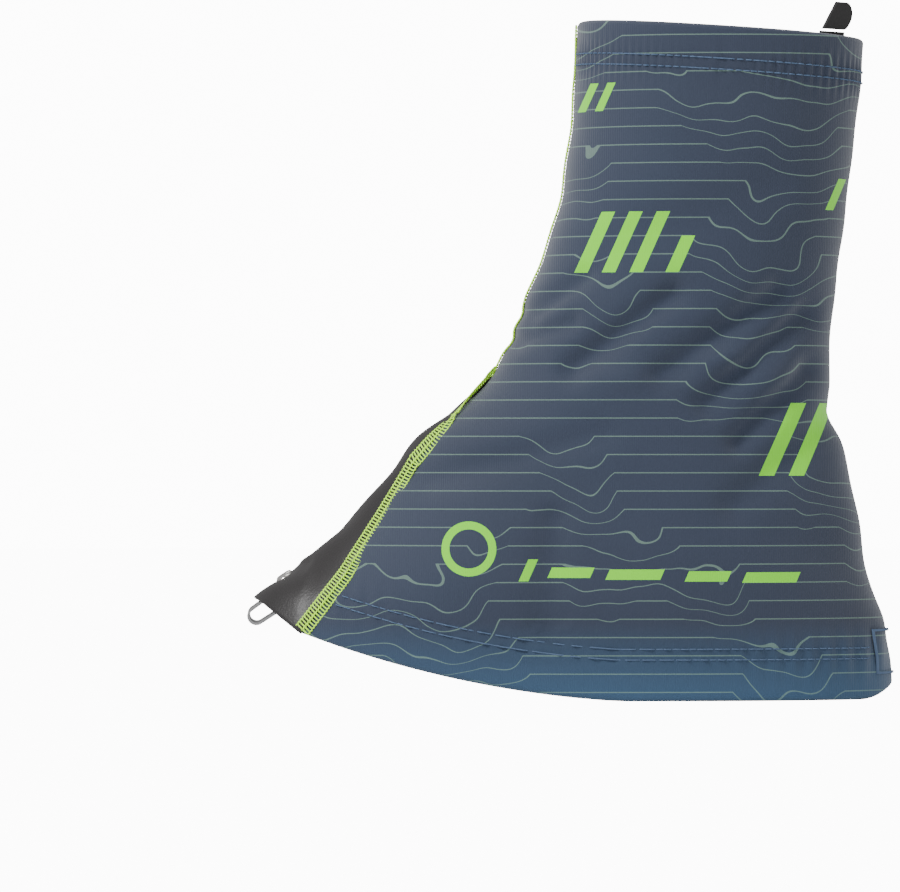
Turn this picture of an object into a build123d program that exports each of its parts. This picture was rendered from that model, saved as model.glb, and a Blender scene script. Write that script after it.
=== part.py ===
"""A trail-running gaiter for a left foot: a stretch-knit sleeve that covers the ankle and the top of a shoe.

The toe points to -X, the wearer's outer side is -Y, and +Z is up the leg. The origin is on the
surface that the lower hem stands on, below the middle of the gaiter. All sizes are in millimetres.
Every fabric layer is cut from one form of flat facets: a layer lies between two offsets from the
fabric's outer face, 0 being that face and negative values lying inside the sleeve.
"""

from build123d import *

import os
from functools import lru_cache
from math import cos, hypot, pi, sin, sqrt
from typing import NamedTuple

# Fabric, tape and thread
knit = 0.9  # printed stretch knit
panel_stock = 1.0  # abrasion-resistant sheet of the front panel
ply_gap = 0.1  # air between two plies that lie on each other
seam_thread = 0.55  # how thick a flatlock seam lies on the fabric
stitch_thread = 0.32
elastic_stock = 1.1
patch_stock = 1.1  # hook tape and loop tape
adhesive_stock = 0.6
thread_base = 0.04  # clearance of a thread from the fabric

# Leg sleeve
leg_height = 120.0  # from the ankle's crease to the cuff's edge at the shin
cuff_fall = 6.0  # how much lower the cuff's edge is at the calf
cuff_front, cuff_back = 3.3, 99.3
leg_half_width = 42.6
cuff_hem_depth = 17.0
cuff_rows = (11.0, 14.6)  # the two needle rows, below the cuff's edge
cuff_elastic_width = 9.0

# Foot skirt
crease = 105.0  # height of the ankle's crease
foot_half_width = 46.0
ankle_half_width = 37.5
hem_front = (-89.0, 22.0)  # x, z where the hem meets the side seams
hem_back = (109.0, 5.4)
hem_flat = (16.0, 97.0)  # the hem lies flat between these
hem_sag = 4.0  # how far the rising hem hangs below a straight line
nose_rise = 0.76  # slope of the edge from the hem to the nose of the tip
hem_depth = 20.0
hem_rows = (13.6, 17.1)  # the two needle rows, above the hem's edge
hem_elastic_width = 11.0
row_width = 0.8

# Ankle joint, where the leg sleeve turns on the foot skirt
ankle_pivot = (21.0, 30.5)
ankle_crease_x = -25.5  # just ahead of the crease
ankle_rise = 2.5  # how far above the crease the cut between leg and foot passes there
ankle_back_share = 1 / 3  # of the cut's radius: the leg's space starts this high above the pivot behind it
ankle_gap = 0.5

# Front panel, its seams and its tip
seam_route = ((-20.8, 112.0), (-24.4, 105.6), (-37.7, 94.0), (-51.3, 78.6), (-62.0, 60.5), (-74.0, 41.5))
seam_width = 5.4
seam_joint = 0.5  # between the butted edges under a seam
tip_hinge = (-86.5, 47.5)
tip_crease_x = -93.0  # where the tip's crease, which runs down from its hinge, meets the hem
tip_gap = 0.5
tip_nose = (-103.6, 9.0)  # x and half width
tip_root = (-84.0, 41.0)
tip_corner = 4.5

# Lace hook and its rivets
rivet_x = -95.0
rivet_y = -1.0
rivet_spacing = 8.4
rivet_head_radius = 3.0
rivet_head_height = 1.2
rivet_shank_radius = 1.4
rivet_clearance = 0.05
hole_reach = 20.0  # each way from the tip's face, deeper than all the plies there
washer_radius = 2.6
washer_stock = 0.5
tip_backing_stock = 0.9
tip_backing_margin = 1.0
plate_corner = 2.0
head_seat = 0.4  # how deep the rivet heads press into the panel
head_round = 1.0
hook_stock = 0.9
hook_plate = (9.6, 16.5)  # along and across the tip
hook_width = 8.0
hook_kick = -0.6  # how far the strip rises between the rivets and its bend, less than 0 for a drop
hook_run = 14.6  # from the rivets to the start of its bend
lace_radius = 2.2
hook_lip = 7.0

# Heel fastening
patch_half_width = 21.0
patch_low, patch_high = 6.5, 25.0
shoe_patch_inset = 2.0
patch_gap = 0.3
box_stitch_inset = 1.8

# Pull tab, sewn inside the cuff near the calf
tab_facet = -3  # which of the form's facets carries it, counted from the calf
tab_width = 13.0
tab_lean = 7.0  # how far its end lies behind its root
tab_height = 11.0  # above the cuff's edge
tab_corner = 4.0
tab_root_depth = 13.0
tab_stock = 1.0
tab_lift = 1.8  # from the cuff's edge to the fold
tab_gap = 0.7
bartack_depths = (3.0, 5.2)
tab_cut = 10.0  # each way from the tab's face, deeper than the cuff's plies

facets = 24  # flat facets round the form
roundness = 1.8  # 2 gives an elliptical section, less a squarer one
reach = 200.0  # longer than any section, for cutting prisms


class Station(NamedTuple):
    """One level of the form: where its section starts, is widest and ends, and how wide it is."""

    z: float
    front: float
    back: float
    middle: float
    half_width: float


def leg(share):
    """A height between the ankle's crease and the cuff's edge at the shin."""
    return crease + share * leg_height


cuff_middle = (cuff_front + cuff_back) / 2
STATIONS = (
    Station(-9, -122.0, 108.2, 14, foot_half_width - 0.4),
    Station(14, -117.5, 107.2, 14, foot_half_width),
    Station(26, -111.0, 105.2, 16, foot_half_width - 0.4),
    Station(34, -104.4, 101.2, 18, foot_half_width - 1.2),
    Station(44, -89.0, 98.4, 20, foot_half_width - 3.0),
    Station(58, -73.8, 96.6, 22, foot_half_width - 5.6),
    Station(72, -61.4, 93.8, 26, foot_half_width - 7.6),
    Station(86, -51.4, 90.8, 30, ankle_half_width + 0.4),
    Station(97, -36.6, 88.0, 34, ankle_half_width),
    Station(crease + 1.5, -25.2, 86.8, 36, ankle_half_width),
    Station(leg(0.10), -20.6, 87.0, 37, ankle_half_width),
    Station(leg(0.21), -15.4, 88.0, 39, ankle_half_width + 0.4),
    Station(leg(0.34), -8.8, 89.7, 42, leg_half_width - 3.8),
    Station(leg(0.51), -1.9, 92.7, 46, leg_half_width - 2.6),
    Station(leg(0.72), 1.5, 95.7, cuff_middle - 2, leg_half_width - 1.4),
    Station(leg(1.08), cuff_front, cuff_back + 0.2, cuff_middle, leg_half_width),
)


def distance_out(station, turn):
    """How far a section's tangent line at an angle lies from the middle axis of the leg."""
    across, along = sin(turn), cos(turn)
    half = station.back - station.middle if along > 0 else station.middle - station.front
    return station.middle * along + hypot_of((half * along, station.half_width * across), roundness)


def hypot_of(parts, power):
    """The length of parts under a power other than 2."""
    return sum(abs(part) ** power for part in parts) ** (1 / power)


def outline(index, grow):
    """Corners of one station's section, with the form's faces moved outwards by grow."""
    station, count = STATIONS[index], len(STATIONS)
    low, high = STATIONS[max(index % count - 1, 0)], STATIONS[min(index % count + 1, count - 1)]
    turns = [2 * pi * (step + 0.5) / facets for step in range(facets)]
    out = []
    for turn in turns:
        slope = (distance_out(high, turn) - distance_out(low, turn)) / (high.z - low.z)
        out.append(distance_out(station, turn) + grow * hypot(1, slope))
    corners = []
    for step, turn in enumerate(turns):
        after = turns[(step + 1) % facets]
        near, far = out[step], out[(step + 1) % facets]
        spread = sin(after - turn)
        corners.append(
            ((near * sin(after) - far * sin(turn)) / spread, (far * cos(turn) - near * cos(after)) / spread)
        )
    return corners


@lru_cache(maxsize=None)
def form(grow):
    """The closed form that a layer's face lies on, grown outwards from the fabric's outer face by grow."""
    end_shifts = {0: grow, len(STATIONS) - 1: -grow}
    rings = []
    for index, station in enumerate(STATIONS):
        z = station.z + end_shifts.get(index, 0)
        rings.append([(x, y, z) for x, y in outline(index, grow)])
    walls = [Face(Wire.make_polygon(rings[0])), Face(Wire.make_polygon(rings[-1]))]
    for low, high in zip(rings, rings[1:]):
        for step in range(facets):
            after = (step + 1) % facets
            walls.append(Face(Wire.make_polygon([low[step], low[after], high[after], high[step]])))
    return Solid(Shell(walls))


@lru_cache(maxsize=None)
def layer(outer, inner):
    """The space between two offsets of the form."""
    with BuildPart() as body:
        add(form(outer))
        add(form(inner), mode=Mode.SUBTRACT)
    return body.part


def side_prism(*points):
    """A prism right across the gaiter whose side view is the polygon through points."""
    with BuildPart() as body:
        with BuildSketch(Plane.XZ):
            with BuildLine():
                Polyline(*points, close=True)
            make_face()
        extrude(amount=reach, both=True)
    return body.part


def below_hem(rise):
    """Everything below the lower hem's edge, with that edge raised by rise."""
    front = (hem_front[0], hem_front[1] + rise)
    back = (hem_back[0], hem_back[1] + rise)
    ahead = (-reach, front[1] + nose_rise * (reach + front[0]))
    flat_start = (hem_flat[0], rise)
    flat_end = (hem_flat[1], rise)
    with BuildPart() as body:
        with BuildSketch(Plane.XZ):
            with BuildLine():
                Line(ahead, front)
                SagittaArc(front, flat_start, -hem_sag)
                Line(flat_start, flat_end)
                TangentArc(flat_end, back, tangent=(1, 0))
                Polyline(back, (reach, back[1]), (reach, -reach), (-reach, -reach), ahead)
            make_face()
        extrude(amount=reach, both=True)
    return body.part


def hem_strip(low, high):
    """A strip that follows the lower hem's edge, between two heights above it."""
    with BuildPart() as body:
        add(below_hem(high))
        add(below_hem(low), mode=Mode.SUBTRACT)
    return body.part


def cuff_edge(x, depth):
    """A point of the line that runs depth below the cuff's edge, in side view."""
    share = (x - cuff_front) / (cuff_back - cuff_front)
    return (x, leg(1) - cuff_fall * share - depth)


def cuff_strip(shallow, deep):
    """A strip that follows the cuff's edge, between two depths below it."""
    return side_prism(
        cuff_edge(-reach, shallow),
        cuff_edge(reach, shallow),
        cuff_edge(reach, deep),
        cuff_edge(-reach, deep),
    )


def above_ankle(radius):
    """The leg's side of a cylinder about the ankle's pivot."""
    pivot_x, pivot_z = ankle_pivot
    step_z = pivot_z + sqrt(radius**2 - (ankle_crease_x - pivot_x) ** 2)
    back_z = pivot_z + ankle_radius * ankle_back_share
    with BuildPart() as body:
        with BuildSketch(Plane.XZ):
            with BuildLine():
                Polyline(
                    (-reach, step_z),
                    (pivot_x, step_z),
                    (pivot_x, back_z),
                    (reach, back_z),
                    (reach, 2 * reach),
                    (-reach, 2 * reach),
                    close=True,
                )
            make_face()
            with Locations(ankle_pivot):
                Circle(radius, mode=Mode.SUBTRACT)
        extrude(amount=reach, both=True)
    return body.part


def behind_seam(shift):
    """Everything behind the side seams' line, with the line moved back by shift."""
    route = [(x + shift, z) for x, z in (*seam_route, hem_front)]
    toe, top = route[-1], route[0]
    with BuildPart() as body:
        with BuildSketch(Plane.XZ):
            with BuildLine():
                Polyline(*route)
                Polyline(
                    toe, (toe[0] - hem_front[1], -hem_front[1]), (reach, -hem_front[1]),
                    (reach, 2 * reach), (top[0], 2 * reach), top,
                )
            make_face()
        extrude(amount=reach, both=True)
    return body.part


def tip_region(shift):
    """Everything ahead of the tip's crease, with the crease moved by shift."""
    hinge_x, hinge_z = tip_hinge
    lean = (tip_crease_x - hinge_x) / (hinge_z - hem_front[1])
    low_x = hinge_x + lean * (hinge_z + reach)
    high_x = hinge_x - lean * reach
    return side_prism(
        (high_x + shift, hinge_z + reach),
        (low_x + shift, -reach),
        (-3 * reach, -reach),
        (-3 * reach, hinge_z + reach),
    )


def half_space(side):
    """All of one side of the gaiter: -1 is the wearer's outer side and 1 the inner one."""
    with BuildPart() as body:
        with BuildSketch(Plane.XY.offset(-reach)):
            with Locations((0, side * (reach / 2 + ply_gap))):
                Rectangle(2 * reach, reach)
        extrude(amount=4 * reach)
    return body.part


def column(x_low, x_high, half_width, z_low, z_high):
    """A block between two x, within half_width of the middle plane."""
    with BuildPart() as body:
        with BuildSketch(Plane.XY.offset(z_low)):
            with Locations(((x_low + x_high) / 2, 0)):
                Rectangle(x_high - x_low, 2 * half_width)
        extrude(amount=z_high - z_low)
    return body.part


def facet_middle(index, count, grow):
    """The middle of one facet's edge in a station's section."""
    corners = outline(index, grow)
    (x_a, y_a), (x_b, y_b) = corners[count - 1], corners[count]
    return Vector((x_a + x_b) / 2, (y_a + y_b) / 2, STATIONS[index].z)


def facet_plane(count, height, grow):
    """The plane of one facet of the cuff, with its x axis level and its y axis up the leg."""
    turn = 2 * pi * (count + 0.5) / facets
    low, high = facet_middle(-2, count, grow), facet_middle(-1, count, grow)
    level = Vector(-sin(turn), cos(turn), 0)
    up = high - low
    return Plane(origin=low + up * ((height - low.Z) / up.Z), x_dir=level, z_dir=level.cross(up))


def surface_plane(x, y):
    """The plane that touches the form from above at x, y, with its own x axis pointing down to the toe."""
    drop = Axis((x, y, reach), (0, 0, -1))
    hits = form(0).find_intersection_points(drop)
    point, normal = max(hits, key=lambda hit: hit[0].Z)
    across = normal.cross(Vector(-1, 0, 0)).normalized()
    return Plane(origin=point, x_dir=across.cross(normal), z_dir=normal)


def finish(part, name):
    """Name a finished piece and write it."""
    part.label = name
    export_step(part, f"parts/{name}.step")


def piece(outer, inner, keep=(), drop=()):
    """A layer of the form, kept only inside some prisms and cut away by others."""
    with BuildPart() as body:
        add(layer(outer, inner))
        for prism in keep:
            add(prism, mode=Mode.INTERSECT, clean=False)
        for prism in drop:
            add(prism, mode=Mode.SUBTRACT, clean=False)
    return body.part


thread_top = thread_base + stitch_thread
seam_top = thread_base + seam_thread
elastic_outer = -(knit + ply_gap)
elastic_inner = elastic_outer - elastic_stock
fold_outer = elastic_inner - ply_gap
fold_inner = fold_outer - knit
loop_outer = fold_inner - thread_top - ply_gap
loop_inner = loop_outer - patch_stock
shoe_outer = loop_inner - patch_gap
shoe_inner = shoe_outer - patch_stock
ankle_radius = hypot(ankle_crease_x - ankle_pivot[0], crease + ankle_rise - ankle_pivot[1])
plate_top = panel_stock + ply_gap + tip_backing_stock
tab_outer = loop_outer
tab_inner = tab_outer - tab_stock
leg_space = above_ankle(ankle_radius + ankle_gap / 2)
foot_cut = above_ankle(ankle_radius - ankle_gap / 2)
shin_joint = column(-reach, cuff_middle, seam_joint / 2, 0, 2 * reach)
shin_band = column(-reach, cuff_middle, seam_width / 2, 0, 2 * reach)
under_hem = below_hem(0)
behind = behind_seam(seam_joint / 2)
ahead_cut = behind_seam(-seam_joint / 2)
hook_plane = surface_plane(rivet_x, rivet_y)
rivet_places = [(0, -rivet_spacing / 2), (0, rivet_spacing / 2)]
os.makedirs("parts", exist_ok=True)

# Leg sleeve and its cuff
with BuildPart() as leg_sleeve:
    add(piece(0, -knit, (cuff_strip(0, 2 * reach), leg_space), (shin_joint,)))

with BuildPart() as cuff_hem_fold:
    add(piece(fold_outer, fold_inner, (cuff_strip(0, cuff_hem_depth),), (shin_joint,)))

with BuildPart() as cuff_elastic:
    add(piece(elastic_outer, elastic_inner, (cuff_strip(knit, knit + cuff_elastic_width),)))

for name, depth in zip(("cuff_upper_stitch", "cuff_lower_stitch"), cuff_rows):
    row = cuff_strip(depth - row_width / 2, depth + row_width / 2)
    finish(piece(thread_top, thread_base, (row,), (shin_band,)), name)

with BuildPart() as cuff_cover_thread:
    cover = cuff_strip(cuff_rows[0] - row_width, cuff_rows[1] + row_width)
    add(piece(fold_inner - thread_base, fold_inner - thread_top, (cover,)))

with BuildPart() as shin_seam:
    add(piece(seam_top, thread_base, (shin_band, cuff_strip(0, 2 * reach), leg_space)))
    inside = cuff_strip(cuff_hem_depth + ply_gap, 2 * reach)
    add(piece(-knit - thread_base, -knit - thread_top, (shin_band, inside, leg_space)))

# Foot skirt and its hem
with BuildPart() as foot_skirt:
    add(piece(0, -knit, (behind,), (under_hem, foot_cut)))

with BuildPart() as hem_fold:
    add(piece(fold_outer, fold_inner, (behind, hem_strip(0, hem_depth))))

with BuildPart() as hem_elastic:
    elastic_space = (behind_seam(seam_width / 2), hem_strip(knit, knit + hem_elastic_width))
    add(piece(elastic_outer, elastic_inner, elastic_space))

past_seam = behind_seam(seam_width / 2 + ply_gap)
patch_space = column(cuff_middle, reach, patch_half_width, patch_low, patch_high)
for name, height in zip(("hem_lower_stitch", "hem_upper_stitch"), hem_rows):
    row = hem_strip(height - row_width / 2, height + row_width / 2)
    finish(piece(thread_top, thread_base, (row, past_seam), (patch_space,)), name)

with BuildPart() as hem_cover_thread:
    cover = hem_strip(hem_rows[0] - row_width, hem_rows[1] + row_width)
    add(piece(fold_inner - thread_base, fold_inner - thread_top, (cover, past_seam)))

# Front panel, the seams that join it to the skirt, and its tip
with BuildPart() as front_panel:
    add(piece(0, -panel_stock, (), (ahead_cut, under_hem, foot_cut, tip_region(tip_gap / 2))))

for name, side in (("outer_side_seam", -1), ("inner_side_seam", 1)):
    with BuildPart() as side_seam:
        keep = (half_space(side), behind_seam(-seam_width / 2))
        drop = (behind_seam(seam_width / 2), under_hem, foot_cut)
        add(piece(seam_top, thread_base, keep, drop))
        inner_drop = (behind_seam(seam_width / 2), below_hem(hem_depth + ply_gap), foot_cut)
        add(piece(-panel_stock - thread_base, -panel_stock - thread_top, keep, inner_drop))
    finish(side_seam.part, name)

with BuildPart() as tip_outline:
    with BuildSketch(Plane.XY) as tip_plan:
        with BuildLine():
            Polyline(
                (tip_nose[0], -tip_nose[1]), (tip_nose[0], tip_nose[1]),
                (tip_root[0], tip_root[1]), (tip_root[0], -tip_root[1]), close=True,
            )
        make_face()
        fillet(tip_plan.vertices().group_by(Axis.X)[0], tip_corner)
    extrude(amount=reach)

with BuildPart() as rivet_holes:
    with BuildSketch(hook_plane.offset(-hole_reach)):
        with Locations(*rivet_places):
            Circle(rivet_shank_radius + rivet_clearance)
    extrude(amount=2 * hole_reach)
    with BuildSketch(hook_plane.offset(-head_seat)):
        with Locations(*rivet_places):
            Circle(rivet_head_radius + rivet_clearance)
    extrude(amount=hole_reach)

with BuildPart() as front_tip:
    keep = (tip_region(-tip_gap / 2), tip_outline.part)
    add(piece(0, -panel_stock, keep, (under_hem, rivet_holes.part)))

with BuildPart() as tip_backing:
    with BuildSketch(hook_plane.offset(-plate_top)):
        backing_length, backing_width = (size + 2 * tip_backing_margin for size in hook_plate)
        RectangleRounded(backing_length, backing_width, plate_corner)
    extrude(amount=plate_top)
    add(form(-panel_stock - ply_gap), mode=Mode.INTERSECT, clean=False)
    add(tip_outline.part, mode=Mode.INTERSECT, clean=False)
    add(rivet_holes.part, mode=Mode.SUBTRACT, clean=False)

hook_side = Plane(origin=hook_plane.origin, x_dir=hook_plane.x_dir, z_dir=-hook_plane.y_dir)
with BuildPart() as lace_hook:
    with BuildSketch(hook_plane.offset(-plate_top)):
        RectangleRounded(hook_plate[0], hook_plate[1], plate_corner)
    extrude(amount=-hook_stock)
    with BuildSketch(hook_side):
        with BuildLine():
            middle = -plate_top - hook_stock / 2
            bend = lace_radius + hook_stock / 2
            plate_end = (hook_plate[0] / 2 - hook_stock, middle)
            Line((0, middle), plate_end)
            Line(plate_end, (hook_run, middle + hook_kick))
            ThreePointArc(
                (hook_run, middle + hook_kick),
                (hook_run + bend, middle + hook_kick - bend),
                (hook_run, middle + hook_kick - 2 * bend),
            )
            lip = middle + hook_kick - 2 * bend
            Line((hook_run, lip), (hook_run - hook_lip, lip))
        trace(line_width=hook_stock)
    extrude(amount=hook_width / 2, both=True)
    add(rivet_holes.part, mode=Mode.SUBTRACT)

with BuildPart() as rivets:
    head_plane = hook_plane.offset(-head_seat)
    with BuildSketch(head_plane):
        with Locations(*rivet_places):
            Circle(rivet_head_radius)
    extrude(amount=rivet_head_height)
    head_tops = rivets.faces().sort_by(Axis(head_plane.origin, head_plane.z_dir))[-2:]
    fillet(head_tops.edges(), head_round)
    with BuildSketch(head_plane):
        with Locations(*rivet_places):
            Circle(rivet_shank_radius)
    extrude(amount=-(plate_top + hook_stock + washer_stock - head_seat))

with BuildPart() as rivet_washers:
    with BuildSketch(hook_plane.offset(-plate_top - hook_stock)):
        with Locations(*rivet_places):
            Circle(washer_radius)
            Circle(rivet_shank_radius + rivet_clearance, mode=Mode.SUBTRACT)
    extrude(amount=-washer_stock)

# Heel: loop tape sewn inside the hem, and the hook tape that sticks to the shoe
with BuildPart() as heel_loop_patch:
    add(piece(loop_outer, loop_inner, (patch_space,)))

outer_inset, inner_inset = box_stitch_inset, box_stitch_inset + row_width
with BuildPart() as heel_box_stitch:
    box = column(
        cuff_middle, reach, patch_half_width - outer_inset, patch_low + outer_inset, patch_high - outer_inset
    )
    inside_box = column(
        cuff_middle, reach, patch_half_width - inner_inset, patch_low + inner_inset, patch_high - inner_inset
    )
    add(piece(thread_top, thread_base, (box,), (inside_box,)))

shoe_patch_space = column(
    cuff_middle,
    reach,
    patch_half_width - shoe_patch_inset,
    patch_low + shoe_patch_inset,
    patch_high - shoe_patch_inset,
)
with BuildPart() as shoe_hook_patch:
    add(piece(shoe_outer, shoe_inner, (shoe_patch_space,)))

with BuildPart() as shoe_patch_adhesive:
    add(piece(shoe_inner, shoe_inner - adhesive_stock, (shoe_patch_space,)))

# Pull tab: its root is sewn flat inside the cuff, and its free end folds over the cuff's edge
tab_z = cuff_edge(facet_middle(-1, tab_facet, tab_outer).X, 0)[1]
tab_face = facet_plane(tab_facet, tab_z, tab_outer)
with BuildPart() as tab_column:
    with BuildSketch(tab_face.offset(-tab_cut)):
        with Locations((0, (tab_lift - tab_gap - tab_root_depth) / 2)):
            Rectangle(tab_width, tab_lift - tab_gap + tab_root_depth)
    extrude(amount=2 * tab_cut)

with BuildPart() as pull_tab_root:
    add(piece(tab_outer, tab_inner, (tab_column.part,)))

with BuildPart() as pull_tab_bartack:
    bartack_space = (tab_column.part, cuff_strip(*bartack_depths))
    add(piece(tab_inner - thread_base, tab_inner - thread_top, bartack_space))

with BuildPart() as pull_tab:
    with BuildSketch(tab_face) as tab_sketch:
        with BuildLine():
            Polyline(
                (-tab_width / 2, tab_lift), (tab_width / 2, tab_lift),
                (tab_width / 2 + tab_lean, tab_height), (-tab_width / 2 + tab_lean, tab_height), close=True,
            )
        make_face()
        fillet(tab_sketch.vertices().sort_by(Axis(tab_face.origin, tab_face.y_dir))[-2:], tab_corner)
    extrude(amount=-tab_stock)

PARTS = {
    "leg_sleeve": leg_sleeve,
    "cuff_hem_fold": cuff_hem_fold,
    "cuff_elastic": cuff_elastic,
    "cuff_cover_thread": cuff_cover_thread,
    "shin_seam": shin_seam,
    "foot_skirt": foot_skirt,
    "hem_fold": hem_fold,
    "hem_elastic": hem_elastic,
    "hem_cover_thread": hem_cover_thread,
    "front_panel": front_panel,
    "front_tip": front_tip,
    "tip_backing": tip_backing,
    "lace_hook": lace_hook,
    "rivets": rivets,
    "rivet_washers": rivet_washers,
    "heel_loop_patch": heel_loop_patch,
    "heel_box_stitch": heel_box_stitch,
    "shoe_hook_patch": shoe_hook_patch,
    "shoe_patch_adhesive": shoe_patch_adhesive,
    "pull_tab_root": pull_tab_root,
    "pull_tab_bartack": pull_tab_bartack,
    "pull_tab": pull_tab,
}
for name, part in PARTS.items():
    finish(part.part, name)

# The pull tab turns about this point and direction
fold_axis = tab_face * Pos(0, tab_lift, -tab_stock / 2)
print("pull tab fold", fold_axis.position, tab_face.x_dir)
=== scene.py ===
"""Dress the trail-running gaiter: stretch-knit sleeve, front panel, flatlock seams and cover stitching."""

import logging
from dataclasses import dataclass, field
from enum import Enum
from math import cos, pi, radians, sin

import bpy
import numpy as np
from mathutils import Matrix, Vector

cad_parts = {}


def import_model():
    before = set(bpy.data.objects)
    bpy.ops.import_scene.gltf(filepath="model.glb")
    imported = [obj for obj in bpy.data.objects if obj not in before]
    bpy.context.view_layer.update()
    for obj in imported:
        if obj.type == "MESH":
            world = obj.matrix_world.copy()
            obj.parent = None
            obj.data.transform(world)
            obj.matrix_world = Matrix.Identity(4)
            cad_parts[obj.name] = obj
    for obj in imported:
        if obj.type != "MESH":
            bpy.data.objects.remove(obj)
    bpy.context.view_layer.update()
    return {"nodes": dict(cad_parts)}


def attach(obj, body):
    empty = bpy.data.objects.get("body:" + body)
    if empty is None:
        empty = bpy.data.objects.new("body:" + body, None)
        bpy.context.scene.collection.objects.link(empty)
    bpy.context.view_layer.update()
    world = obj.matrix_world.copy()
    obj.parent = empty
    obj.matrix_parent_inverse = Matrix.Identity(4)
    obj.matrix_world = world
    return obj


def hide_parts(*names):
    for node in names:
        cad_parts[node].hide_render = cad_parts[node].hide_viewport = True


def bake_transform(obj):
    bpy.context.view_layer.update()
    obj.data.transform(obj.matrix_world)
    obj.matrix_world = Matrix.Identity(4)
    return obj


MM = 0.001
LOG = logging.getLogger("gaiter")


class Body(Enum):
    """The bodies that pieces ride on."""

    FOOT = "foot"
    LEG = "leg"
    TIP = "tip"


def linear(hex_colour: str) -> tuple[float, float, float, float]:
    """Turn an sRGB hex colour into linear RGBA.

    Args:
        hex_colour: Six hex digits with a leading hash.

    Returns:
        Linear red, green, blue and an alpha of 1.
    """
    values = [int(hex_colour[at:at + 2], 16) / 255 for at in (1, 3, 5)]
    red, green, blue = (v / 12.92 if v <= 0.04045 else ((v + 0.055) / 1.055) ** 2.4 for v in values)
    return (red, green, blue, 1.0)


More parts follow.
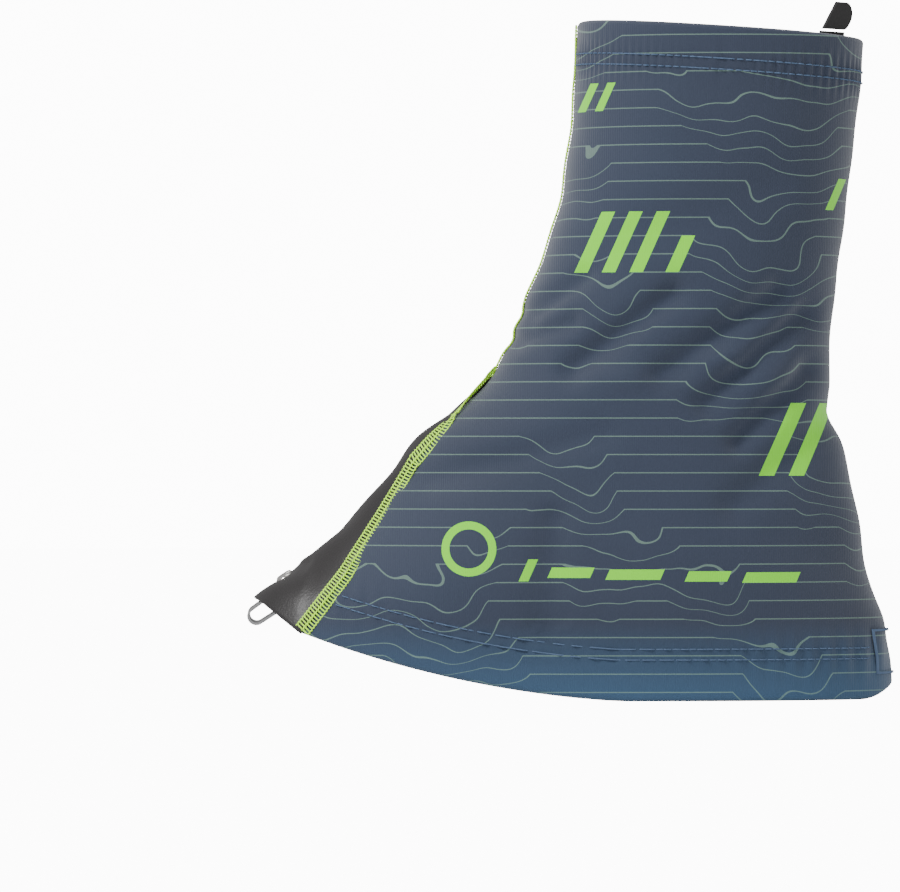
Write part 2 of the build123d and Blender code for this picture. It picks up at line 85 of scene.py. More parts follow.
@dataclass
class GaiterForm:
    """The smooth form that the knit and the panel lie on, in millimetres."""

    roundness: float = 1.8
    crease: float = 105.0
    leg_height: float = 120.0
    cuff_front: float = 3.3
    cuff_back: float = 99.3
    cuff_fall: float = 6.0
    hem_front: tuple[float, float] = (-89.0, 22.0)
    hem_flat: tuple[float, float] = (16.0, 97.0)
    hem_back: tuple[float, float] = (109.0, 5.4)
    hem_sag: float = 4.0
    nose_rise: float = 0.76
    seam_route: tuple[tuple[float, float], ...] = (
        (-20.8, 112.0), (-24.4, 105.6), (-37.7, 94.0), (-51.3, 78.6), (-62.0, 60.5), (-74.0, 41.5),
        (-89.0, 22.0),
    )
    stations: tuple[tuple[float, float, float, float, float], ...] = (
        (-9, -122.0, 108.2, 14, 45.6), (14, -117.5, 107.2, 14, 46.0), (26, -111.0, 105.2, 16, 45.6),
        (34, -104.4, 101.2, 18, 44.8), (44, -89.0, 98.4, 20, 43.0), (58, -73.8, 96.6, 22, 40.4),
        (72, -61.4, 93.8, 26, 38.4), (86, -51.4, 90.8, 30, 37.9), (97, -36.6, 88.0, 34, 37.5),
        (106.5, -25.2, 86.8, 36, 37.5), (117, -20.6, 87.0, 37, 37.5), (130.2, -15.4, 88.0, 39, 37.9),
        (145.8, -8.8, 89.7, 42, 38.8), (166.2, -1.9, 92.7, 46, 40.0), (191.4, 1.5, 95.7, 49.3, 41.2),
        (234.6, 3.3, 99.5, 51.3, 42.6),
    )
    smoothing: float = 3.0
    lowest: float = -9.0
    highest: float = 236.0
    level_step: float = 0.5
    half_window: int = 18
    drift: float = 7.0  # how far the folds lie further back on the inner side
    drift_band: float = 12.0
    ripple: float = 0.35
    fade: float = 22.0  # how far from a hem the folds reach their full depth
    cuff_waves: float = 92.0
    cuff_gather: tuple[float, float] = (13.0, 6.0)
    hem_waves: float = 1.05
    hem_gather: tuple[float, float] = (15.0, 7.0)
    apex: tuple[float, float] = (92.0, 110.0)
    hollows: tuple[tuple[float, float, float, float, float, float], ...] = (
        (4, 112, 30, 131, 4.5, 3.6), (34, 110, 64, 131, 5.0, 4.2), (48, 101, 74, 124, 4.2, 3.6),
        (58, 88, 76, 106, 4.0, 3.2), (-12, 128, 2, 138, 3.6, 2.2), (-16, 119, -2, 124, 3.2, 2.0),
        (58, 68, 86, 92, 6.0, 2.4), (-9, 24, -6, 56, 3.6, 2.6), (18, 150, 60, 166, 9.0, 1.4),
        (-40, 74, 4, 86, 5.0, 1.6),
    )
    swells: tuple[tuple[float, float, float, float, float], ...] = (
        (-34, 46, 24, 24, 3.4), (20, 106, 13, 5, 2.0), (50, 113, 12, 4, 2.2), (66, 105, 10, 5, 1.8),
        (40, 60, 30, 24, 1.2), (36, 185, 34, 26, 0.9),
    )
    levels: np.ndarray = field(init=False)
    table: np.ndarray = field(init=False)
    seam_turns: np.ndarray = field(init=False)

    def __post_init__(self) -> None:
        """Smooth the stations into a table of levels, and find the seams' place on it."""
        self.levels = np.arange(self.lowest, self.highest, self.level_step)
        stations = np.array(self.stations)
        offsets = np.arange(-self.half_window, self.half_window + 1) * self.level_step
        kernel = np.exp(-0.5 * (offsets / self.smoothing) ** 2)
        kernel /= kernel.sum()
        columns = []
        for column in range(1, 5):
            raw = np.interp(self.levels, stations[:, 0], stations[:, column])
            padded = np.pad(raw, self.half_window, mode="edge")
            columns.append(np.convolve(padded, kernel, mode="valid"))
        self.table = np.array(columns)
        route = np.array(self.seam_route)[::-1]
        turns = np.linspace(pi / 2, pi, 400)
        found = []
        for z in self.levels:
            seam_x = np.interp(z, route[:, 1], route[:, 0])
            x = self.bare(turns, np.full_like(turns, z), 0.0)[0]
            found.append(np.interp(-seam_x, -x, turns))
        closing = np.clip((self.levels - self.apex[0]) / (self.apex[1] - self.apex[0]), 0, 1)
        closing = closing * closing * (3 - 2 * closing)
        self.seam_turns = np.array(found) * (1 - closing) + pi * closing

    def reach(self, turn: np.ndarray, z: np.ndarray, grow: float | np.ndarray) -> np.ndarray:
        """Distance of the section's tangent line at each turn from the origin's axis."""
        front, back, middle, half = (np.interp(z, self.levels, row) for row in self.table)
        along = np.where(np.cos(turn) > 0, back - middle, middle - front) * np.abs(np.cos(turn))
        across = half * np.abs(np.sin(turn))
        half_size = (along**self.roundness + across**self.roundness) ** (1 / self.roundness)
        return middle * np.cos(turn) + half_size + grow

    def bare(self, turn: np.ndarray, z: np.ndarray, grow: float | np.ndarray) -> np.ndarray:
        """Points of the form without folds, as rows of x, y and z."""
        step = 1e-3
        slope = (self.reach(turn, z + 2, 0) - self.reach(turn, z - 2, 0)) / 4
        wide = grow * np.hypot(1, slope)
        out = self.reach(turn, z, wide)
        side = (self.reach(turn + step, z, wide) - self.reach(turn - step, z, wide)) / (2 * step)
        return np.array([
            out * np.cos(turn) - side * np.sin(turn), out * np.sin(turn) + side * np.cos(turn), z + 0 * out,
        ])

    def folds(self, x: np.ndarray, y: np.ndarray, z: np.ndarray) -> np.ndarray:
        """How far the folds and swells push the knit outwards at each point."""
        push = np.zeros_like(x)
        drift = self.drift * np.clip(y / self.drift_band, 0, 1)
        for x_a, z_a, x_b, z_b, width, depth in self.hollows:
            line = np.array([x_b - x_a, z_b - z_a])
            share = ((x - drift - x_a) * line[0] + (z - z_a) * line[1]) / (line @ line)
            share = np.clip(share, -0.15, 1.15)
            gap = np.hypot(x - drift - x_a - share * line[0], z - z_a - share * line[1])
            push -= depth * np.exp(-((gap / width) ** 2))
        for x_a, z_a, wide, high, height in self.swells:
            push += height * np.exp(-(((x - drift - x_a) / wide) ** 2) - ((z - z_a) / high) ** 2)
        push += self.ripple * np.sin(x * 0.11 + z * 0.17) * np.sin(z * 0.09 - x * 0.05 + 1.0)
        return push

    def surface(
        self, turn: np.ndarray, z: np.ndarray, grow: float | np.ndarray, gather: float = 0.38,
    ) -> np.ndarray:
        """Points of the folded knit, as rows of x, y and z, with its hems gathered in small waves."""
        x, y, _ = self.bare(turn, z, 0.0)
        ends = np.clip(np.minimum(z - self.hem(x), self.cuff(x) - z) / self.fade, 0.15, 1)
        depth, band = self.cuff_gather
        near_cuff = np.exp(-(((z - self.cuff(x) + depth) / band) ** 2))
        pucker = gather * np.sin(np.arctan2(y, x - 40) * self.cuff_waves) * near_cuff
        height, band = self.hem_gather
        near_hem = np.exp(-(((z - self.hem(x) - height) / band) ** 2))
        pucker += gather * np.sin(x * self.hem_waves) * near_hem
        return self.bare(turn, z, grow + self.folds(x, y, z) * ends + pucker)

    def hem(self, x: np.ndarray) -> np.ndarray:
        """Height of the lower edge at each x."""
        x_f, z_f = self.hem_front
        share = np.clip((x - x_f) / (self.hem_flat[0] - x_f), 0, 1)
        rising = z_f * (1 - share) - 4 * self.hem_sag * share * (1 - share)
        ahead = z_f + self.nose_rise * (x_f - x)
        heel = np.clip((x - self.hem_flat[1]) / (self.hem_back[0] - self.hem_flat[1]), 0, 1)
        return np.where(x < x_f, ahead, np.maximum(rising, 0) + self.hem_back[1] * heel**2)

    def cuff(self, x: np.ndarray) -> np.ndarray:
        """Height of the cuff's edge at each x."""
        share = (x - self.cuff_front) / (self.cuff_back - self.cuff_front)
        return self.crease + self.leg_height - self.cuff_fall * share

    def seam_turn(self, z: np.ndarray) -> np.ndarray:
        """Turn of the side seam at each height, half a turn above the apex."""
        return np.interp(z, self.levels, self.seam_turns)

    def settle(self, u: np.ndarray, edge: str, shift: np.ndarray) -> tuple[np.ndarray, np.ndarray]:
        """Find turn and height where columns meet an edge line moved up by shift.

        Args:
            u: Column positions from 0 to 1, seam to seam round the heel.
            edge: "hem" or "cuff".
            shift: Height above that edge.

        Returns:
            The turns and the heights.
        """
        line = self.hem if edge == "hem" else self.cuff
        z = np.full_like(u, 20.0 if edge == "hem" else 220.0) + shift
        for _ in range(40):
            turn = (2 * u - 1) * self.seam_turn(z)
            x = self.bare(turn, z, 0.0)[0]
            z = 0.5 * z + 0.5 * (line(x) + shift)
        return (2 * u - 1) * self.seam_turn(z), z


def add_mesh(name: str, points: np.ndarray, faces: list[tuple[int, ...]]) -> bpy.types.Object:
    """Make a smooth mesh object.

    Args:
        name: The piece's name.
        points: Points in millimetres, one row each.
        faces: The points of each face, by row number.

    Returns:
        The new object, linked to the scene.
    """
    mesh = bpy.data.meshes.new(name)
    mesh.from_pydata((np.asarray(points) * MM).tolist(), [], faces)
    mesh.update()
    mesh.polygons.foreach_set("use_smooth", [True] * len(mesh.polygons))
    obj = bpy.data.objects.new(name, mesh)
    bpy.context.scene.collection.objects.link(obj)
    return obj


def add_grid(name: str, rows: np.ndarray) -> bpy.types.Object:
    """Make a sheet from rows of points.

    Args:
        name: The piece's name.
        rows: Points in millimetres, of shape (rows, columns, 3).

    Returns:
        The new object.
    """
    count, width = rows.shape[:2]
    faces = [
        (r * width + c, r * width + c + 1, (r + 1) * width + c + 1, (r + 1) * width + c)
        for r in range(count - 1) for c in range(width - 1)
    ]
    return add_mesh(name, rows.reshape(-1, 3), faces)


def add_tubes(name: str, paths: list[np.ndarray], radius: float, sides: int = 6) -> bpy.types.Object:
    """Make round threads along several paths, in one mesh.

    Args:
        name: The piece's name.
        paths: The points that each thread follows, in millimetres.
        radius: The threads' radius in millimetres.
        sides: How many flat sides stand for the round.

    Returns:
        The new object.
    """
    points, faces = [], []
    for path in paths:
        base = len(points)
        ahead = np.gradient(path, axis=0)
        ahead /= np.linalg.norm(ahead, axis=1)[:, None]
        guide = np.array([0.13, 0.27, 0.95])
        first = np.cross(ahead, guide)
        first /= np.linalg.norm(first, axis=1)[:, None]
        second = np.cross(ahead, first)
        for at in range(len(path)):
            for side in range(sides):
                turn = 2 * pi * side / sides
                points.append(path[at] + radius * (cos(turn) * first[at] + sin(turn) * second[at]))
        for at in range(len(path) - 1):
            for side in range(sides):
                a, b = base + at * sides + side, base + at * sides + (side + 1) % sides
                faces.append((a, b, b + sides, a + sides))
        faces.append(tuple(base + side for side in reversed(range(sides))))
        faces.append(tuple(base + (len(path) - 1) * sides + side for side in range(sides)))
    return add_mesh(name, np.array(points), faces)


def add_node(tree: bpy.types.NodeTree, kind: str, inputs: dict, **settings: object) -> bpy.types.Node:
    """Add a shader node, set it, and fill or link its inputs.

    Args:
        tree: The node tree that gets the node.
        kind: Blender's type name of the node.
        inputs: A number, colour or socket for each input, by its name or place.
        settings: Properties of the node itself.

    Returns:
        The new node.
    """
    node = tree.nodes.new(kind)
    for key, value in settings.items():
        setattr(node, key, value)
    for key, value in inputs.items():
        if isinstance(value, bpy.types.NodeSocket):
            tree.links.new(value, node.inputs[key])
        else:
            node.inputs[key].default_value = value
    return node


def compute(tree: bpy.types.NodeTree, operation: str, *values: object) -> bpy.types.NodeSocket:
    """Add one Math node to a shader.

    Args:
        tree: The material's or the world's node tree.
        operation: What the node does, as Blender names it.
        values: Numbers or sockets, in the node's own order.

    Returns:
        The node's output socket.
    """
    node = add_node(tree, "ShaderNodeMath", dict(enumerate(values)), operation=operation)
    return node.outputs[0]


def mix(tree: bpy.types.NodeTree, factor: object, first: object, second: object) -> bpy.types.NodeSocket:
    """Mix two colours.

    Args:
        tree: The material's node tree.
        factor: Share of the second colour.
        first: Colour or socket that shows at factor 0.
        second: Colour or socket that shows at factor 1.

    Returns:
        The mixed colour's socket.
    """
    node = add_node(tree, "ShaderNodeMix", {0: factor, 6: first, 7: second}, data_type="RGBA")
    return node.outputs[2]


@dataclass(frozen=True)
class PlainFinish:
    """A finish of one colour with a fine grain."""

    name: str
    colour: str
    roughness: float = 0.7
    metallic: float = 0.0
    sheen: float = 0.0
    grain: float = 0.0
    grain_size: float = 0.6

    def build(self) -> bpy.types.Material:
        """Make the material."""
        material = bpy.data.materials.new(self.name)
        material.use_nodes = True
        tree = material.node_tree
        shader = tree.nodes["Principled BSDF"]
        shader.inputs["Base Color"].default_value = linear(self.colour)
        shader.inputs["Roughness"].default_value = self.roughness
        shader.inputs["Metallic"].default_value = self.metallic
        shader.inputs["Sheen Weight"].default_value = self.sheen
        if self.grain:
            place = add_node(tree, "ShaderNodeTexCoord", {})
            noise = add_node(tree, "ShaderNodeTexNoise", {
                "Vector": place.outputs["Object"], "Scale": 1 / (self.grain_size * MM), "Detail": 3.0,
            })
            bump = add_node(tree, "ShaderNodeBump", {
                "Height": noise.outputs[0], "Strength": self.grain, "Distance": 0.2 * MM,
            })
            tree.links.new(bump.outputs[0], shader.inputs["Normal"])
        return material


@dataclass(frozen=True)
class PrintedKnit:
    """Navy knit printed with contour lines, plain bars and a ring."""

    name: str = "printed_knit_face"
    ground: str = "#162237"
    dark: str = "#101929"
    pale: str = "#1e2e46"
    teal: str = "#234866"
    contour: str = "#7fa08a"
    lime: str = "#6fd000"
    spacing: float = 6.0 * MM
    line: float = 0.032
    hill_scale: float = 22.0
    cloud_scale: float = 9.0
    relief: float = 10.0
    contour_share: float = 0.32
    mark_share: float = 0.95
    slant: float = 0.45
    teal_height: float = 26.0 * MM
    teal_share: float = 0.8
    bars: tuple[tuple[float, float, float, float], ...] = (
        (8, 151, 2.2, 10), (17, 151, 2.2, 10), (26, 151, 2.2, 10), (36, 147, 2.2, 6), (6, 199, 1.3, 4.6),
        (11.5, 199, 1.3, 4.6), (70, 86, 2.6, 12), (80, 86, 2.6, 12), (88, 167, 1.4, 5.2),
        (-14, 43, 1.6, 3.6), (0, 42.2, 7, 1.7), (21, 41.6, 9, 1.7), (45, 41, 7, 1.7), (66, 40.6, 9, 1.7),
    )
    ring: tuple[float, float, float, float] = (-33.5, 50.0, 9.0, 6.4)

    def bar(
        self, tree: bpy.types.NodeTree, x: object, z: object, shape: tuple[float, ...],
    ) -> bpy.types.NodeSocket:
        """A mask of one slanted bar: its middle, half width and half height in millimetres."""
        mid_x, mid_z, wide, high = (value * MM for value in shape)
        up = compute(tree, "SUBTRACT", z, mid_z)
        lean = compute(tree, "MULTIPLY", up, self.slant)
        across = compute(tree, "SUBTRACT", compute(tree, "SUBTRACT", x, mid_x), lean)
        inside_x = compute(tree, "LESS_THAN", compute(tree, "ABSOLUTE", across), wide)
        inside_z = compute(tree, "LESS_THAN", compute(tree, "ABSOLUTE", up), high)
        return compute(tree, "MULTIPLY", inside_x, inside_z)

    def build(self) -> bpy.types.Material:
        """Make the material."""
        material = bpy.data.materials.new(self.name)
        material.use_nodes = True
        tree = material.node_tree
        shader = tree.nodes["Principled BSDF"]
        shader.inputs["Roughness"].default_value = 0.82
        shader.inputs["Sheen Weight"].default_value = 0.25
        shader.inputs["Sheen Roughness"].default_value = 0.5
        print_place = add_node(tree, "ShaderNodeUVMap", {}, uv_map="print")
        parts = add_node(tree, "ShaderNodeSeparateXYZ", {0: print_place.outputs[0]})
        x, z = parts.outputs[0], parts.outputs[1]
        hills = add_node(tree, "ShaderNodeTexNoise", {
            "Vector": print_place.outputs[0], "Scale": self.hill_scale, "Detail": 2.0, "Roughness": 0.45,
        })
        peaks = compute(tree, "MAXIMUM", compute(tree, "SUBTRACT", hills.outputs[0], 0.5), 0.0)
        relief = compute(tree, "MULTIPLY", peaks, self.relief)
        level = compute(tree, "ADD", compute(tree, "DIVIDE", z, self.spacing), relief)
        edge = compute(tree, "ABSOLUTE", compute(tree, "SUBTRACT", compute(tree, "FRACT", level), 0.5))
        lines = compute(tree, "LESS_THAN", edge, self.line)
        cloud = add_node(tree, "ShaderNodeTexNoise", {
            "Vector": print_place.outputs[0], "Scale": self.cloud_scale, "Detail": 1.0,
        })
        shade = mix(tree, cloud.outputs[0], linear(self.dark), linear(self.pale))
        shade = mix(tree, 0.55, shade, linear(self.ground))
        low = compute(tree, "SUBTRACT", 1.0, compute(tree, "DIVIDE", z, self.teal_height))
        low = compute(tree, "MULTIPLY", compute(tree, "MAXIMUM", low, 0.0), self.teal_share)
        shade = mix(tree, low, shade, linear(self.teal))
        shade = mix(tree, compute(tree, "MULTIPLY", lines, self.contour_share), shade, linear(self.contour))
        marks = None
        for shape in self.bars:
            mask = self.bar(tree, x, z, shape)
            marks = mask if marks is None else compute(tree, "MAXIMUM", marks, mask)
        mid_x, mid_z, outer, inner = (value * MM for value in self.ring)
        away_x = compute(tree, "POWER", compute(tree, "SUBTRACT", x, mid_x), 2.0)
        away_z = compute(tree, "POWER", compute(tree, "SUBTRACT", z, mid_z), 2.0)
        away = compute(tree, "SQRT", compute(tree, "ADD", away_x, away_z))
        inside = compute(tree, "LESS_THAN", away, outer)
        ring = compute(tree, "MULTIPLY", inside, compute(tree, "GREATER_THAN", away, inner))
        marks = compute(tree, "MAXIMUM", marks, ring)
        shade = mix(tree, compute(tree, "MULTIPLY", marks, self.mark_share), shade, linear(self.lime))
        tree.links.new(shade, shader.inputs["Base Color"])
        knit = add_node(tree, "ShaderNodeTexWave", {
            "Vector": print_place.outputs[0], "Scale": 520.0, "Distortion": 1.5, "Detail": 1.0,
        }, bands_direction="X")
        bump = add_node(tree, "ShaderNodeBump", {
            "Height": knit.outputs[1], "Strength": 0.35, "Distance": 0.12 * MM,
        })
        tree.links.new(bump.outputs[0], shader.inputs["Normal"])
        return material


@dataclass
class Sleeve:
    """The knit from seam to seam, with both hems turned in, and the elastics inside them."""

    form: GaiterForm
    columns: int = 300
    rows: int = 120
    thickness: float = 0.9
    fold: float = 3.1
    hem_depth: float = 20.0
    cuff_depth: float = 17.0
    tape_grow: float = -1.35
    tape_thickness: float = 0.4

    def turned_edge(self, depth: float) -> list[tuple[float, float]]:
        """Distance from the edge and offset along a turned-in hem, from its raw edge to the outer face."""
        half = self.fold / 2
        inner = [(at, -self.fold) for at in np.linspace(depth, half, 12)]
        arc = [(half - half * sin(a), -half - half * cos(a)) for a in np.linspace(0, pi, 9)[1:]]
        return inner + arc

    def build(self) -> bpy.types.Object:
        """Make the knit."""
        u = np.linspace(0, 1, self.columns)
        low, high = self.turned_edge(self.hem_depth), self.turned_edge(self.cuff_depth)
        rows = []
        for rise, grow in low:
            turn, z = self.form.settle(u, "hem", np.full_like(u, rise))
            rows.append(self.form.surface(turn, z, grow).T)
        _, z_low = self.form.settle(u, "hem", np.full_like(u, self.fold / 2))
        _, z_high = self.form.settle(u, "cuff", np.full_like(u, -self.fold / 2))
        for share in np.linspace(0, 1, self.rows)[1:-1]:
            z = z_low * (1 - share) + z_high * share
            turn = (2 * u - 1) * self.form.seam_turn(z)
            rows.append(self.form.surface(turn, z, 0.0).T)
        for depth, grow in reversed(high):
            turn, z = self.form.settle(u, "cuff", np.full_like(u, -depth))
            rows.append(self.form.surface(turn, z, grow).T)
        grid = np.array(rows)
        knit = add_grid("knit_sleeve", grid)
        prints = knit.data.uv_layers.new(name="print")
        flat = grid.reshape(-1, 3)
        for loop in knit.data.loops:
            x, y, z = flat[loop.vertex_index]
            prints.data[loop.index].uv = ((x + 25 * min(max(y / 16, 0), 1)) * MM, z * MM)
        solid = knit.modifiers.new("ply", "SOLIDIFY")
        solid.thickness = self.thickness * MM
        solid.offset = -1
        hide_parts("leg_sleeve", "foot_skirt", "cuff_hem_fold", "hem_fold")
        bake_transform(knit)
        return knit

    def elastic(
        self, name: str, edge: str, near: float, far: float, node: str, body: Body,
    ) -> bpy.types.Object:
        """Make the elastic inside one hem."""
        u = np.linspace(0.008, 0.992, 160)
        rows = []
        for depth in np.linspace(near, far, 5):
            turn, z = self.form.settle(u, edge, np.full_like(u, depth))
            rows.append(self.form.surface(turn, z, self.tape_grow, gather=0.0).T)
        band = add_grid(name, np.array(rows))
        solid = band.modifiers.new("tape", "SOLIDIFY")
        solid.thickness = self.tape_thickness * MM
        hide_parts(node)
        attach(band, body.value)
        return band


@dataclass
class FrontPanel:
    """The black sheet over the laces, and the seams that join it to the knit."""

    form: GaiterForm
    columns: int = 90
    rows: int = 90
    thickness: float = 1.0
    apex: float = 110.5
    seam_half: float = 2.6
    rung_pitch: float = 1.15
    thread: float = 0.27

    def build(self) -> bpy.types.Object:
        """Make the panel with its tip."""
        w = np.linspace(0, 1, self.columns)
        z = np.full_like(w, 28.0)
        for _ in range(60):
            seam = self.form.seam_turn(z)
            x = self.form.bare(seam + w * (2 * pi - 2 * seam), z, 0.0)[0]
            z = 0.6 * z + 0.4 * self.form.hem(x)
        rows = []
        for share in np.linspace(0, 1, self.rows):
            level = z * (1 - share) + self.apex * share
            seam = self.form.seam_turn(level)
            turn = seam + w * (2 * pi - 2 * seam)
            bare = self.form.bare(turn, level, 0.0)
            crease = 0.5 * np.exp(-(((bare[0] + 87) / 1.6) ** 2)) * np.sin(bare[1] * 0.3 + 1)
            crease += 0.35 * np.sin(bare[0] * 0.35 + bare[1] * 0.2)
            rows.append(self.form.bare(turn, level, 0.35 + crease).T)
        panel = add_grid("front_sheet", np.array(rows))
        solid = panel.modifiers.new("sheet", "SOLIDIFY")
        solid.thickness = self.thickness * MM
        solid.offset = -1
        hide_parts("front_panel", "front_tip")
        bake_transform(panel)
        return panel

    def ladder(self, name: str, centre: np.ndarray, normal: np.ndarray) -> bpy.types.Object:
        """Make a flatlock seam along a centre line, with rungs, edge threads and a middle chain."""
        ahead = np.gradient(centre, axis=0)
        ahead /= np.linalg.norm(ahead, axis=1)[:, None]
        across = np.cross(normal, ahead)
        across /= np.linalg.norm(across, axis=1)[:, None]
        length = np.concatenate([[0], np.cumsum(np.linalg.norm(np.diff(centre, axis=0), axis=1))])

        def at(distance: np.ndarray, side: float | np.ndarray, lift: float | np.ndarray) -> np.ndarray:
            """Points beside the centre line at distances along it."""
            parts = []
            for source in (centre, across, normal):
                parts.append(np.array([np.interp(distance, length, source[:, k]) for k in range(3)]).T)
            side, lift = np.broadcast_to(side, distance.shape), np.broadcast_to(lift, distance.shape)
            return parts[0] + parts[1] * side[:, None] + parts[2] * lift[:, None]

        along = np.arange(0, length[-1], 0.4)
        wave = np.sin(2 * pi * along / self.rung_pitch)
        paths = [at(along, side * self.seam_half + 0.18 * wave, 0.3 + 0.1 * wave) for side in (-1, 1)]
        paths.append(at(along, 0.25 * wave, 0.5))
        reach = np.linspace(-1, 1, 6)
        for start in np.arange(0.4, length[-1] - 0.6, self.rung_pitch):
            paths.append(at(start + 0.22 * reach, self.seam_half * reach, 0.35 - 0.2 * reach**4))
        return add_tubes(name, paths, self.thread)

    def side_seam(self, name: str, side: int, node: str) -> bpy.types.Object:
        """Make one side seam."""
        z = np.linspace(self.form.hem_front[1] + 1.0, 110.2, 240)
        turn = side * self.form.seam_turn(z)
        centre = self.form.bare(turn, z, 0.3).T
        normal = self.form.bare(turn, z, 1.3).T - centre
        normal /= np.linalg.norm(normal, axis=1)[:, None]
        seam = self.ladder(name, centre, normal)
        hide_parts(node)
        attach(seam, Body.FOOT.value)
        return seam

    def shin_seam(self) -> bpy.types.Object:
        """Make the seam up the shin."""
        z = np.linspace(109.4, self.form.cuff(np.array([3.3]))[0] - 0.8, 240)
        turn = np.full_like(z, pi)
        centre = self.form.surface(turn, z, 0.1).T
        normal = np.tile(np.array([-1.0, 0.0, 0.05]), (len(z), 1))
        seam = self.ladder("shin_flatlock", centre, normal)
        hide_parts("shin_seam")
        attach(seam, Body.LEG.value)
        return seam


@dataclass
class CoverStitch:
    """Needle rows and cover threads of both hems."""

    form: GaiterForm
    stitch: float = 2.9
    radius: float = 0.24
    tape_start: float = 51.0
    tape_half: float = 21.4

    def row(self, name: str, edge: str, height: float, node: str, body: Body) -> bpy.types.Object:
        """Make one needle row, whose thread dips into the knit between stitches."""
        u = np.linspace(0.012, 0.988, 1300)
        turn, z = self.form.settle(u, edge, np.full_like(u, height))
        path = self.form.surface(turn, z, 0.0)
        run = np.concatenate([[0], np.cumsum(np.linalg.norm(np.diff(path, axis=1), axis=0))])
        lift = 0.22 - 0.55 * np.abs(np.cos(pi * run / self.stitch)) ** 6
        points = self.form.surface(turn, z, lift)
        at_tape = (edge == "hem") & (points[0] > self.tape_start) & (np.abs(points[1]) < self.tape_half)
        runs = np.split(np.arange(len(u)), np.flatnonzero(np.diff(at_tape)) + 1)
        paths = [points[:, run].T for run in runs if not at_tape[run[0]] and len(run) > 2]
        thread = add_tubes(name, paths, self.radius)
        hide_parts(node)
        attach(thread, body.value)
        return thread

    def cover(self, name: str, edge: str, height: float, node: str, body: Body) -> bpy.types.Object:
        """Make the zigzag cover thread inside a hem."""
        u = np.linspace(0.015, 0.985, 1100)
        turn, z = self.form.settle(u, edge, height + 2.2 * np.sin(u * 1400))
        thread = add_tubes(name, [self.form.surface(turn, z, -3.35).T], self.radius)
        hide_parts(node)
        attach(thread, body.value)
        return thread


@dataclass
class Studio:
    """Pale floor, soft lights and the camera."""

    frame_width: float = 0.300
    centre: tuple[float, float] = (-0.0397, 0.0838)
    distance: float = 2.75
    fill: float = 0.55
    backdrop: float = 12.0
    floor_half: float = 4000.0

    def whiten(self, material: bpy.types.Material) -> bpy.types.Material:
        """Make a material plain white where the camera sees it."""
        tree = material.node_tree
        seen = add_node(tree, "ShaderNodeLightPath", {}).outputs["Is Camera Ray"]
        glow = add_node(tree, "ShaderNodeEmission", {"Strength": self.backdrop})
        shader = tree.nodes["Principled BSDF"].outputs[0]
        both = add_node(tree, "ShaderNodeMixShader", {0: seen, 1: shader, 2: glow.outputs[0]})
        tree.links.new(both.outputs[0], tree.nodes["Material Output"].inputs[0])
        return material

    def build(self) -> None:
        """Make the floor, the lights and the camera."""
        half = self.floor_half
        corners = np.array([(-half, -half, 0), (half, -half, 0), (half, half, 0), (-half, half, 0)])
        floor = add_mesh("floor", corners, [(0, 1, 2, 3)])
        floor.data.materials.append(self.whiten(PlainFinish("floor_paint", "#f4f4f4", 0.9).build()))
        world = bpy.data.worlds.new("studio")
        world.use_nodes = True
        world.node_tree.nodes["Background"].inputs[0].default_value = (1, 1, 1, 1)
        tree = world.node_tree
        seen = add_node(tree, "ShaderNodeLightPath", {}).outputs["Is Camera Ray"]
        strength = compute(tree, "ADD", self.fill, compute(tree, "MULTIPLY", seen, self.backdrop))
        tree.links.new(strength, tree.nodes["Background"].inputs[1])
        bpy.context.scene.world = world
        for name, place, power, size in (
            ("key", (-1.1, -0.9, 1.2), 40.0, 0.5),
            ("side", (1.2, -0.9, 0.8), 9.0, 0.9),
            ("top", (0, 0.3, 1.8), 10.0, 1.2),
        ):
            light = bpy.data.lights.new(name, "AREA")
            light.energy, light.size = power, size
            lamp = bpy.data.objects.new(name, light)
            lamp.location = place
            lamp.rotation_euler = (Vector((0, 0, 0.1)) - Vector(place)).to_track_quat("-Z", "Y").to_euler()
            bpy.context.scene.collection.objects.link(lamp)
        lens = bpy.data.cameras.new("camera")
        lens.sensor_width = 36
        lens.lens = 36 * self.distance / self.frame_width
        lens.clip_end = 50
        camera = bpy.data.objects.new("camera", lens)
        camera.location = (self.centre[0], -self.distance, self.centre[1])
        camera.rotation_euler = (radians(90), 0, 0)
        bpy.context.scene.collection.objects.link(camera)
        bpy.context.scene.camera = camera


def dress(obj: bpy.types.Object, material: bpy.types.Material) -> None:
    """Give an object one material."""
    obj.data.materials.clear()
    obj.data.materials.append(material)
    LOG.info("dressed %s", obj.name)


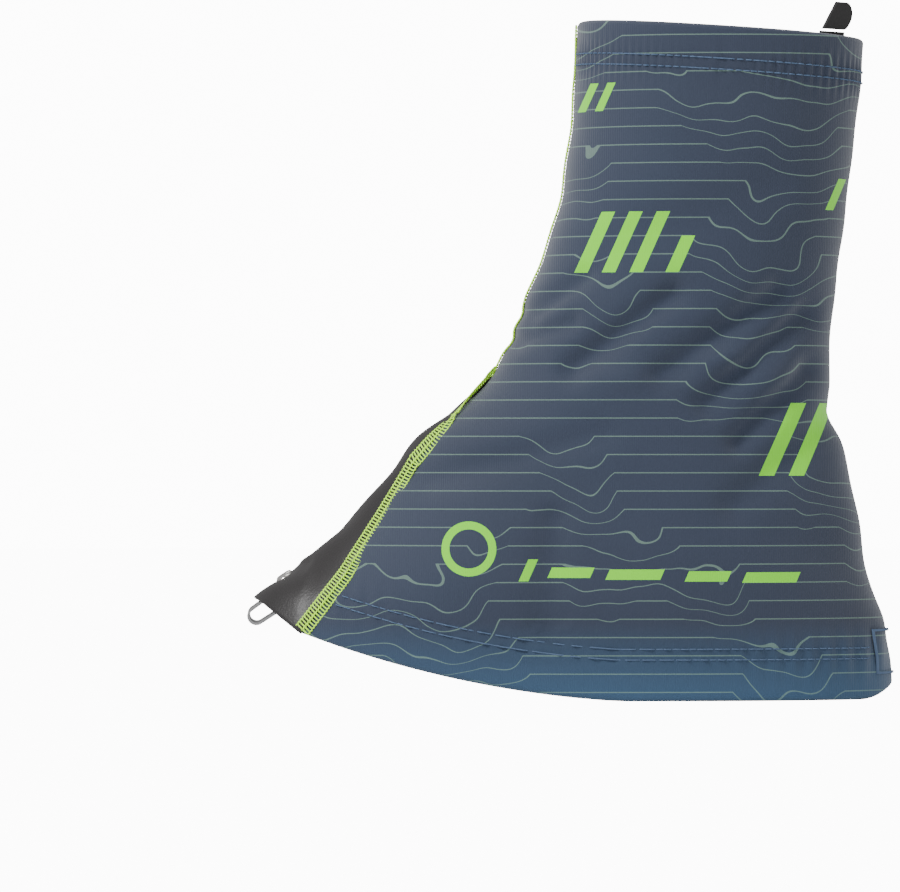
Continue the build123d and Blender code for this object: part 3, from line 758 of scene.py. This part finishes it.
def main() -> None:
    """Build and dress the gaiter."""
    logging.basicConfig(level=logging.INFO)
    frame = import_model()
    form = GaiterForm()
    knit = PrintedKnit().build()
    lime = PlainFinish("lime_thread", "#b2ee08", 0.55, sheen=0.3).build()
    dull = PlainFinish("navy_thread", "#3d516c", 0.7).build()
    sheet = PlainFinish("coated_sheet", "#161314", 0.48, grain=0.5, grain_size=0.9).build()
    webbing = PlainFinish("black_webbing_weave", "#0d0c0d", 0.75, grain=0.6, grain_size=0.8).build()
    tape = PlainFinish("loop_tape_pile", "#17171a", 0.95, sheen=0.5, grain=1.0, grain_size=0.5).build()
    white = PlainFinish("elastic_weave", "#d8d8d4", 0.8, grain=0.4).build()
    nickel = PlainFinish("nickel_plate", "#c9c6c2", 0.18, metallic=1.0).build()
    steel = PlainFinish("tumbled_steel", "#8b8b8c", 0.38, metallic=1.0, grain=0.15).build()
    film = PlainFinish("adhesive_film", "#d9d6c6", 0.4).build()
    sleeve = Sleeve(form)
    dress(sleeve.build(), knit)
    dress(sleeve.elastic("cuff_elastic_tape", "cuff", -2.2, -11.0, "cuff_elastic", Body.LEG), white)
    dress(sleeve.elastic("hem_elastic_tape", "hem", 2.2, 13.0, "hem_elastic", Body.FOOT), white)
    panel = FrontPanel(form)
    dress(panel.build(), sheet)
    dress(panel.side_seam("outer_flatlock", -1, "outer_side_seam"), lime)
    dress(panel.side_seam("inner_flatlock", 1, "inner_side_seam"), lime)
    dress(panel.shin_seam(), lime)
    stitches = CoverStitch(form)
    for name, edge, height, node, body in (
        ("cuff_needle_row_a", "cuff", -11.0, "cuff_upper_stitch", Body.LEG),
        ("cuff_needle_row_b", "cuff", -14.6, "cuff_lower_stitch", Body.LEG),
        ("hem_needle_row_a", "hem", 17.1, "hem_upper_stitch", Body.FOOT),
        ("hem_needle_row_b", "hem", 13.6, "hem_lower_stitch", Body.FOOT),
    ):
        dress(stitches.row(name, edge, height, node, body), dull)
    dress(stitches.cover("cuff_zigzag", "cuff", -12.8, "cuff_cover_thread", Body.LEG), dull)
    dress(stitches.cover("hem_zigzag", "hem", 15.4, "hem_cover_thread", Body.FOOT), dull)
    for nodes, material in (
        (("pull_tab", "pull_tab_root", "tip_backing"), webbing),
        (("heel_loop_patch", "shoe_hook_patch"), tape),
        (("heel_box_stitch", "pull_tab_bartack"), dull),
        (("lace_hook", "rivet_washers"), steel),
        (("rivets",), nickel),
        (("shoe_patch_adhesive",), film),
    ):
        for node in nodes:
            dress(frame["nodes"][node], material)
    Studio().build()


if __name__ == "__main__":
    main()
